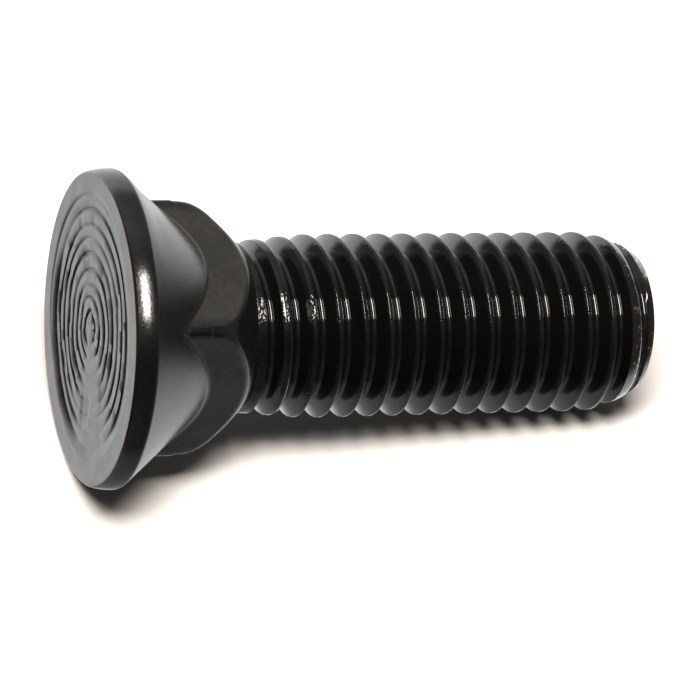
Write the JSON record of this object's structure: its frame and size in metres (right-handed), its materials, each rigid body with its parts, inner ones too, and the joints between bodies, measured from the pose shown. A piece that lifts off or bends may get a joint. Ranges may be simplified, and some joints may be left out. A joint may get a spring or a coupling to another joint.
{
  "type": "plow bolt",
  "caption": "Flat countersunk round head on a rounded square neck that curves in to a full-length right-hand coarse thread with a rounded tip.",
  "frame": {"origin": "centre of the head's flat face", "axes": "+Z along the shank from the head to the tip; +X and +Y square to the neck's flats"},
  "size_m": [0.0274, 0.0274, 0.0499],
  "materials": {
    "oiled_steel": "black oiled, satin on the forged head and neck, glossy on the rolled thread"
  },
  "bodies": {
    "root": {"plow_bolt": "oiled_steel"}
  },
  "joints": []
}
